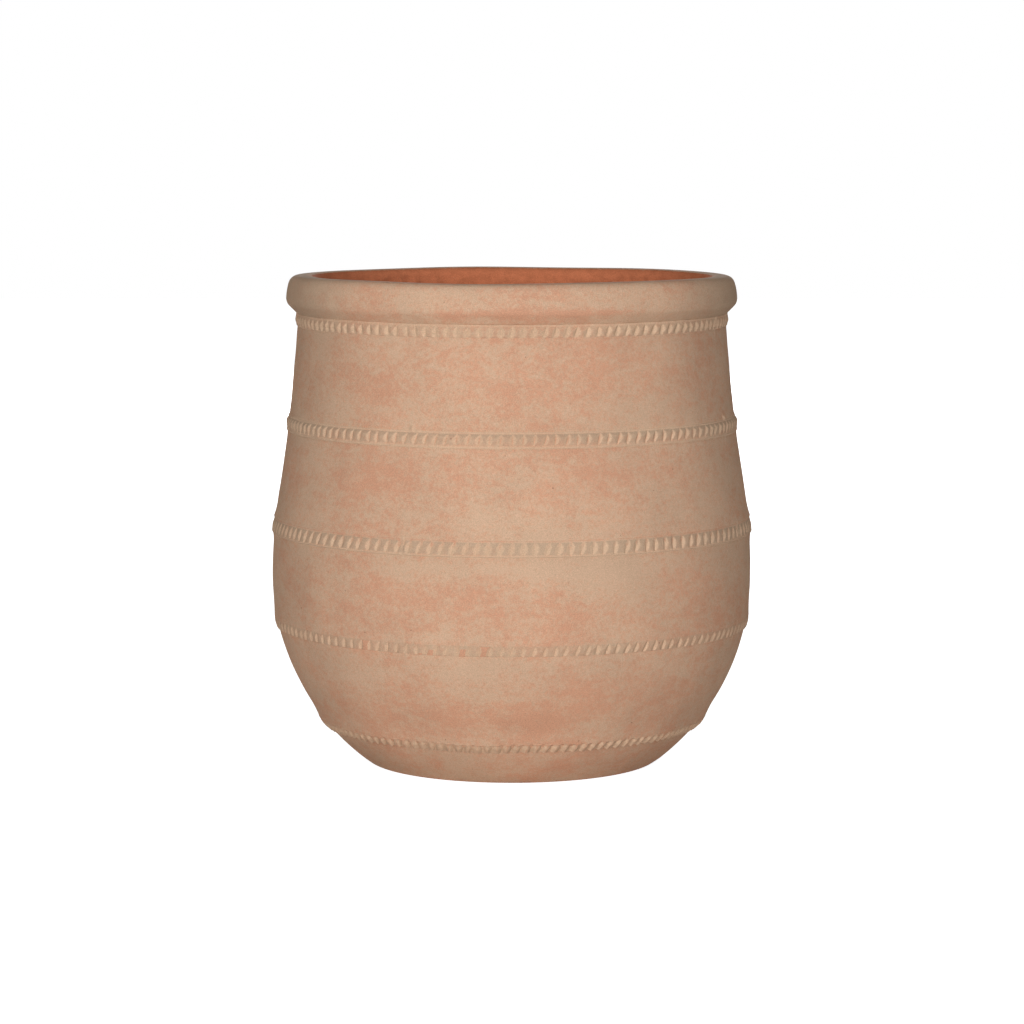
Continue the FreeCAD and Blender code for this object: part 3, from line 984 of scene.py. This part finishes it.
def build_floor(pot):
    """Floor: bevelled edge, smeared top, drain hole with rubbed edges, underside with a shallow hollow."""
    wall = pot.wall
    corner = floor_corner(pot)[1]
    low_edge = (corner[0] - wall.floor_bevel, 0)
    hole, top, rub = wall.drain_radius, wall.floor_thickness, rubbed_edge
    hole_edge = hole + rub
    outline = Outline()
    outline.add_point(low_edge, unmoved, hidden_face)
    outline.add_line(low_edge, corner, unmoved, hidden_face, count=3)
    outline.add_point(corner, unmoved, hidden_face)
    outline.add_line(corner, (hole_edge, top), upwards, inside_face, count=34)
    outline.add_arc((hole_edge, top - rub), rub, quarter_turn, half_turn, hidden_face, count=6)
    outline.add_line((hole, top - rub), (hole, rub), inwards, hidden_face, count=6)
    outline.add_arc((hole_edge, rub), rub, half_turn, 3 * quarter_turn, hidden_face, count=6)
    outline.add_line((hole_edge, 0), low_edge, upwards, ground_face, count=30)
    radius, height, out_radius, out_height, face = outline.arrays()
    azimuth = pot.columns(count=floor_columns)
    from_edges = smooth((radius - hole_edge) / edge_clear) * smooth((low_edge[0] - radius) / edge_clear)
    smears = smear_depth * hand_waves(azimuth, radius, **floor_smears)
    hollow = hollow_depth * (1 + hand_waves(azimuth, radius, **floor_swell))
    moved = from_edges * ((face == inside_face) * smears + (face == ground_face) * hollow)
    make_ring("floor_slab", "raw_terracotta", raw_clay(), azimuth, radius + moved * out_radius,
              height + moved * out_height, cover=0, dusty=0, cream=0, worn=0)


def build_coil(pot):
    """Coil in the corner: up the wall, and down to the floor in a hollow face rubbed with the thumb, which
    is deepest halfway."""
    wall = pot.wall
    high = pot.curve.height_over(wall.coil_top, wall.thickness, foot_arc)
    corner_height, corner = floor_corner(pot)
    on_wall = pot.curve.spot(high, wall.thickness)
    on_floor = (corner[0] - wall.coil_width, wall.floor_thickness)
    slant = math.hypot(on_wall[0] - on_floor[0], on_wall[1] - on_floor[1])
    out = ((on_floor[1] - on_wall[1]) / slant, (on_wall[0] - on_floor[0]) / slant)
    outline = Outline()
    outline.add_wall(pot.curve, np.linspace(corner_height, high, num=8), wall.thickness, hidden_face)
    outline.add_line(on_wall, on_floor, out, inside_face, count=18)
    outline.add_point(on_floor, unmoved, hidden_face)
    radius, height, out_radius, out_height, face = outline.arrays()
    azimuth = pot.columns(count=floor_columns)
    up = np.clip((height - wall.floor_thickness) / (wall.coil_top - wall.floor_thickness), 0, 1)
    rubbed = thumb_depth * hand_waves(azimuth, height, **thumb_marks) - coil_hollow
    moved = (face == inside_face) * 4 * up * (1 - up) * rubbed
    make_ring("floor_coil", "raw_terracotta", raw_clay(), azimuth, radius + moved * out_radius,
              height + moved * out_height, cover=0, dusty=0, cream=0, worn=0)


# Finishes

def put(tree, kind, inputs=None, **options):
    """Adds a node with its options, and gives its sockets values or links."""
    node = tree.nodes.new(kind)
    for option, value in options.items():
        setattr(node, option, value)
    for socket, value in (inputs or {}).items():
        if isinstance(value, bpy.types.NodeSocket):
            tree.links.new(value, node.inputs[socket])
        else:
            node.inputs[socket].default_value = value
    return node


def calculate(tree, operation, first, second):
    """Result of one operation on two values."""
    return put(tree, "ShaderNodeMath", {0: first, 1: second}, operation=operation).outputs[0]


def times(tree, first, second):
    """Product of two values."""
    return calculate(tree, "MULTIPLY", first, second)


def weighted(tree, values, weights):
    """Sum of named values, each times its weight."""
    total = 0.0
    for name, weight in weights.items():
        total = calculate(tree, "ADD", total, times(tree, values[name], weight))
    return total


def ramp(tree, value, first, last, start=0.0, end=1.0):
    """Soft step from start to end as the value goes from first to last."""
    inputs = {"Value": value, "From Min": first, "From Max": last, "To Min": start, "To Max": end}
    return put(tree, "ShaderNodeMapRange", inputs, interpolation_type="SMOOTHSTEP").outputs["Result"]


def blend(tree, factor, first, second):
    """Colour between two colours."""
    inputs = {0: factor, 6: first, 7: second}
    return put(tree, "ShaderNodeMix", inputs, data_type="RGBA").outputs[2]


def clouds(tree, position, size, detail, roughness=0.55):
    """Noise about zero with clouds of the given size."""
    scale = calculate(tree, "DIVIDE", 1.0, size)
    inputs = {"Vector": position, "Scale": scale, "Detail": detail, "Roughness": roughness}
    return calculate(tree, "SUBTRACT", put(tree, "ShaderNodeTexNoise", inputs).outputs[0], 0.5)


def new_group(name, inputs, outputs):
    """Empty node group with sockets named by their kind, and its input and output nodes' sockets."""
    tree = bpy.data.node_groups.new(name, "ShaderNodeTree")
    for way, kinds in (("INPUT", inputs), ("OUTPUT", outputs)):
        for kind, sockets in kinds.items():
            for socket in sockets:
                tree.interface.new_socket(socket, in_out=way, socket_type=kind)
    return tree, tree.nodes.new("NodeGroupInput").outputs, tree.nodes.new("NodeGroupOutput").inputs


def emptied(owner):
    """Node tree of a material or world, with no nodes in it."""
    owner.use_nodes = True
    owner.node_tree.nodes.clear()
    return owner.node_tree


number_socket, colour_socket, vector_socket = "NodeSocketFloat", "NodeSocketColor", "NodeSocketVector"
black, white = (0, 0, 0, 1), (1, 1, 1, 1)

# Inputs of the worn wash: marks kept on the points of a piece, colours, and sizes of its patterns
wash_marks = ("Cover", "Dusty", "Cream", "Worn")
wash_tones = ("Wash", "Thin wash", "Dusty wash", "Cream wash", "Clay")
wash_sizes = ("Speckle", "Cloud", "Patch", "Grain")

# Weights of the patterns and marks where the wash is thin, and where it ends
thin_weights = {"cloud": 1.75, "patch": 1.25, "worn": 0.6, "speckle": 1.2}
cover_weights = {"cover": 1.0, "cloud": 0.9, "speckle": 1.2}

# Looks of the wash
brushing = (1.0, 1.0, 1.7)  # how much closer its clouds lie upwards than sideways
tint_share = 0.8  # how far the grey wash of dust and painted shade and the cream wash hide the plain one
stain_size = 0.6  # size of the stains as a share of a patch
stain_share = 0.15  # strength of the stains


def worn_wash():
    """Wash over clay: thick and thin wash in a speckle gathered into clouds and patches, greyer where dusty
    and paler where creamy, and bare clay with a ragged edge where the cover ends, all with a fine tone."""
    found = bpy.data.node_groups.get("Worn wash")
    if found:
        return found
    inputs = {vector_socket: ["Position"], number_socket: wash_marks + wash_sizes, colour_socket: wash_tones}
    outputs = {colour_socket: ["Colour"], number_socket: ["Thin"]}
    tree, given, result = new_group("Worn wash", inputs, outputs)
    position = given["Position"]
    brushed = put(tree, "ShaderNodeVectorMath", {0: position, 1: brushing}, operation="MULTIPLY").outputs[0]
    cloud = clouds(tree, brushed, given["Cloud"], detail=4.0, roughness=0.7)
    patterns = {
        "cover": given["Cover"], "worn": given["Worn"], "cloud": cloud,
        "speckle": clouds(tree, position, given["Speckle"], detail=1.0, roughness=0.6),
        "patch": clouds(tree, brushed, given["Patch"], detail=2.0),
    }
    thin = ramp(tree, weighted(tree, patterns, thin_weights), first=-0.45, last=0.55)
    washed = blend(tree, thin, given["Wash"], given["Thin wash"])
    spared = ramp(tree, given["Worn"], first=0.3, last=1.2, start=1.0, end=0.0)
    for mark in ("Dusty", "Cream"):
        tint = times(tree, times(tree, given[mark], tint_share), spared)
        washed = blend(tree, tint, washed, given[mark + " wash"])
    bare = ramp(tree, weighted(tree, patterns, cover_weights), first=0.62, last=0.3)
    clay = blend(tree, ramp(tree, cloud, first=-0.25, last=0.3, start=0.84, end=1.08), black, given["Clay"])
    fine = clouds(tree, position, given["Grain"], detail=2.0, roughness=0.7)
    fine_shade = ramp(tree, fine, first=-0.35, last=0.35, start=0.8, end=1.2)
    stain = clouds(tree, position, times(tree, given["Patch"], stain_size), detail=1.0)
    shade = calculate(tree, "ADD", fine_shade, times(tree, stain, stain_share))
    mixed = {0: 1.0, 6: blend(tree, bare, washed, clay), 7: shade}
    shaded = put(tree, "ShaderNodeMix", mixed, data_type="RGBA", blend_type="MULTIPLY")
    tree.links.new(shaded.outputs[2], result["Colour"])
    tree.links.new(thin, result["Thin"])
    return tree


# Sandy grain
grain_share = 0.5  # its share of the relief beside the softer grain
soft_size = 6.0  # how many times larger the softer grain is


def sandy_grain():
    """Sandy grain of fired clay with a few small pits: their height, and a mask of the pits. A cell holds a
    pit if its random number is below the pits' share."""
    found = bpy.data.node_groups.get("Sandy grain")
    if found:
        return found
    inputs = {vector_socket: ["Position"], number_socket: ["Grain", "Pit", "Pit share"]}
    tree, given, result = new_group("Sandy grain", inputs, {number_socket: ["Height", "Pits"]})
    position = given["Position"]
    grain = clouds(tree, position, given["Grain"], detail=3.0, roughness=0.6)
    soft = clouds(tree, position, times(tree, given["Grain"], soft_size), detail=2.0)
    scale = calculate(tree, "DIVIDE", 1.0, given["Pit"])
    cells = put(tree, "ShaderNodeTexVoronoi", {"Vector": position, "Scale": scale})
    chance = put(tree, "ShaderNodeSeparateColor", {0: cells.outputs["Color"]})
    chosen = calculate(tree, "LESS_THAN", chance.outputs[0], given["Pit share"])
    size = ramp(tree, chance.outputs[1], first=0.0, last=1.0, start=0.05, end=0.16)
    inside = calculate(tree, "DIVIDE", cells.outputs["Distance"], size)
    pits = times(tree, ramp(tree, inside, first=1.0, last=0.5), chosen)
    height = calculate(tree, "ADD", times(tree, grain, grain_share), soft)
    tree.links.new(calculate(tree, "SUBTRACT", height, pits), result["Height"])
    tree.links.new(pits, result["Pits"])
    return tree


# Painted shade in the pits
pit_shade = 0.55  # how far their painted shade shows
pit_shade_tone = 0.35  # colour of that painted shade as a share of the clay's


def clay_finish(name, pit_share, relief):
    """Material of fired clay: worn wash for the colour, sandy grain for the relief, dull all over."""
    found = bpy.data.materials.get(name)
    if found:
        return found
    finish = bpy.context.scene.flower_pot.finish
    material = bpy.data.materials.new(name)
    tree = emptied(material)
    position = put(tree, "ShaderNodeTexCoord").outputs["Object"]
    wash = {"Position": position}
    for mark in wash_marks:
        wash[mark] = put(tree, "ShaderNodeAttribute", attribute_name=mark.lower()).outputs["Fac"]
    for tone in wash_tones:
        wash[tone] = (*getattr(finish, tone.lower().replace(" ", "_")), 1.0)
    for size in wash_sizes:
        wash[size] = getattr(finish, size.lower())
    cover = put(tree, "ShaderNodeGroup", wash, node_tree=worn_wash()).outputs
    grain = {"Position": position, "Grain": finish.grain, "Pit": finish.pit, "Pit share": pit_share}
    sand = put(tree, "ShaderNodeGroup", grain, node_tree=sandy_grain()).outputs
    pit_shade_colour = (*[part * pit_shade_tone for part in finish.clay], 1.0)
    normal = put(tree, "ShaderNodeBump", {"Height": sand["Height"], "Strength": 0.6, "Distance": relief})
    shader = put(tree, "ShaderNodeBsdfPrincipled", {
        "Base Color": blend(tree, times(tree, sand["Pits"], pit_shade), cover["Colour"], pit_shade_colour),
        "Roughness": ramp(tree, cover["Thin"], first=0.0, last=1.0, start=0.92, end=0.8),
        "Specular IOR Level": 0.03,
        "Normal": normal.outputs["Normal"],
    })
    put(tree, "ShaderNodeOutputMaterial", {"Surface": shader.outputs["BSDF"]})
    return material


def washed_clay():
    """Clay of the outside, with the wash on it."""
    return clay_finish("Washed terracotta", pit_share=0.035, relief=0.00025)


def raw_clay():
    """Coarser clay of the floor and the coil."""
    return clay_finish("Raw terracotta", pit_share=0.12, relief=0.0005)


# Stage
lamp_target = (0, 0, 0.24)  # point that the lamps look at
top_elevation = math.radians(75)  # elevation of the lamp over the pot
frame_width = 36  # width of the camera's frame in millimetres
white_start = 0.4  # distance from the pot where the floor starts to get whiter
white_full = 1.1  # distance from the pot where it is white


def add_lamp(name, azimuth, elevation, distance, width, tall, power):
    """Soft box at an azimuth and elevation round the target, turned towards it."""
    lamp = bpy.data.lights.new(name, "AREA")
    lamp.shape = "RECTANGLE"
    lamp.size = width
    lamp.size_y = tall
    lamp.energy = power
    thing = bpy.data.objects.new(name, lamp)
    level = distance * math.cos(elevation)
    thing.location = (level * math.sin(azimuth), -level * math.cos(azimuth),
                      lamp_target[2] + distance * math.sin(elevation))
    way = Vector(lamp_target) - thing.location
    thing.rotation_euler = way.to_track_quat("-Z", "Y").to_euler()
    thing.visible_camera = False
    bpy.context.scene.collection.objects.link(thing)


def add_camera(stage):
    """Camera in front of the pot, looking down by its pitch."""
    camera = bpy.data.objects.new("Camera", bpy.data.cameras.new("Camera"))
    camera.data.lens = stage.lens
    camera.data.sensor_width = frame_width
    camera.location = stage.camera
    camera.rotation_euler = (quarter_turn - stage.pitch, 0, 0)
    bpy.context.scene.collection.objects.link(camera)
    bpy.context.scene.camera = camera


def seen_as_white(tree):
    """1 for the rays that show the white of the studio: from the camera, or mirrored, or through glass."""
    path = put(tree, "ShaderNodeLightPath").outputs
    seen = calculate(tree, "MAXIMUM", path["Is Camera Ray"], path["Is Glossy Ray"])
    return calculate(tree, "MAXIMUM", seen, path["Is Transmission Ray"])


def add_world(stage):
    """White where the camera looks past the floor, and a weak even light on the pot."""
    world = bpy.data.worlds.new("Studio")
    tree = emptied(world)
    strength = ramp(tree, seen_as_white(tree), first=0.0, last=1.0, start=stage.ambient, end=1.0)
    background = put(tree, "ShaderNodeBackground", {"Color": white, "Strength": strength})
    put(tree, "ShaderNodeOutputWorld", {"Surface": background.outputs["Background"]})
    bpy.context.scene.world = world


def add_floor(stage, reach=8.0):
    """Pale floor that the camera sees as white, less the pot's soft shadow."""
    mesh = bpy.data.meshes.new("Floor")
    corners = [(-reach, -reach, 0), (reach, -reach, 0), (reach, reach, 0), (-reach, reach, 0)]
    mesh.from_pydata(corners, [], [range(len(corners))])
    floor = bpy.data.objects.new("Floor", mesh)
    bpy.context.scene.collection.objects.link(floor)
    material = bpy.data.materials.new("Floor")
    tree = emptied(material)
    position = put(tree, "ShaderNodeTexCoord").outputs["Object"]
    away = put(tree, "ShaderNodeVectorMath", {0: position}, operation="LENGTH").outputs["Value"]
    glow = ramp(tree, away, first=white_start, last=white_full, start=stage.floor_white, end=1.0)
    shader = put(tree, "ShaderNodeBsdfPrincipled", {
        "Base Color": (stage.floor_bounce, stage.floor_bounce, stage.floor_bounce, 1),
        "Roughness": 0.9,
        "Emission Color": white,
        "Emission Strength": times(tree, glow, seen_as_white(tree)),
    })
    put(tree, "ShaderNodeOutputMaterial", {"Surface": shader.outputs["BSDF"]})
    mesh.materials.append(material)


def pot_of(context):
    """The pot, as the scene's settings have it."""
    return Pot(context.scene.flower_pot)


class POT_OT_floor(bpy.types.Operator):
    """Builds the floor with its drain hole and the coil in its corner"""
    bl_idname = "flower_pot.floor"
    bl_label = "Floor and Coil"

    def execute(self, context):
        pot = pot_of(context)
        build_floor(pot)
        build_coil(pot)
        return {"FINISHED"}


class POT_OT_rows(bpy.types.Operator):
    """Builds the five rows of the wall, each from the middle of one band to the middle of the next"""
    bl_idname = "flower_pot.rows"
    bl_label = "Wall Rows"

    def execute(self, context):
        pot = pot_of(context)
        foot, lower, belly, shoulder = [band.settings.middle for band in pot.bands[:-1]]
        build_foot_course(pot, foot)
        build_course(pot, "lower_course", foot, lower)
        build_course(pot, "belly_course", lower, belly)
        build_course(pot, "shoulder_course", belly, shoulder)
        build_neck_course(pot, shoulder)
        return {"FINISHED"}


class POT_OT_rim(bpy.types.Operator):
    """Builds the rolled rim"""
    bl_idname = "flower_pot.rim"
    bl_label = "Rim"

    def execute(self, context):
        build_rim(pot_of(context))
        return {"FINISHED"}


class POT_OT_bands(bpy.types.Operator):
    """Builds the five rope bands with their notches"""
    bl_idname = "flower_pot.bands"
    bl_label = "Rope Bands"

    def execute(self, context):
        pot = pot_of(context)
        for band in pot.bands:
            build_band(pot, band)
        return {"FINISHED"}


class POT_OT_stage(bpy.types.Operator):
    """Adds the camera, the soft boxes, the world and the floor"""
    bl_idname = "flower_pot.stage"
    bl_label = "Stage"

    def execute(self, context):
        stage = context.scene.flower_pot.stage
        lamps = (("Left lamp", stage.left_azimuth, stage.left_power),
                 ("Right lamp", stage.right_azimuth, stage.right_power),
                 ("Back lamp", half_turn, stage.back_power))
        for name, azimuth, power in lamps:
            add_lamp(name, azimuth, stage.lamp_elevation, stage.lamp_distance, stage.lamp_width,
                     stage.lamp_tall, power)
        add_lamp("Top lamp", 0, top_elevation, stage.lamp_distance, stage.lamp_width, stage.lamp_width,
                 stage.top_power)
        add_camera(stage)
        add_world(stage)
        add_floor(stage)
        context.scene.view_settings.view_transform = "Standard"
        return {"FINISHED"}


class POT_PT_panel(bpy.types.Panel):
    """Steps that build the pot, in order"""
    bl_label = "Flower Pot"
    bl_idname = "POT_PT_panel"
    bl_space_type = "VIEW_3D"
    bl_region_type = "UI"
    bl_category = "Flower Pot"

    def draw(self, context):
        for step in steps:
            self.layout.operator(step.bl_idname)


steps = (POT_OT_floor, POT_OT_rows, POT_OT_rim, POT_OT_bands, POT_OT_stage)
classes = (
    WallSettings, RimSettings, NeckBandSettings, ShoulderBandSettings, BellyBandSettings, LowerBandSettings,
    FootBandSettings, SeamSettings, FinishSettings, StageSettings, FlowerPotSettings, *steps, POT_PT_panel,
)


def register():
    """Registers the classes and gives each scene the pot's settings."""
    for kind in classes:
        bpy.utils.register_class(kind)
    bpy.types.Scene.flower_pot = PointerProperty(type=FlowerPotSettings)


def unregister():
    """Takes the settings and the classes away again."""
    del bpy.types.Scene.flower_pot
    for kind in reversed(classes):
        bpy.utils.unregister_class(kind)


def main():
    """Builds the pot and its stage, and writes the boxes of the solids and of the visible model."""
    register()
    bpy.ops.flower_pot.floor()
    bpy.ops.flower_pot.rows()
    bpy.ops.flower_pot.rim()
    bpy.ops.flower_pot.bands()
    bpy.ops.flower_pot.stage()


if __name__ == "__main__":
    main()
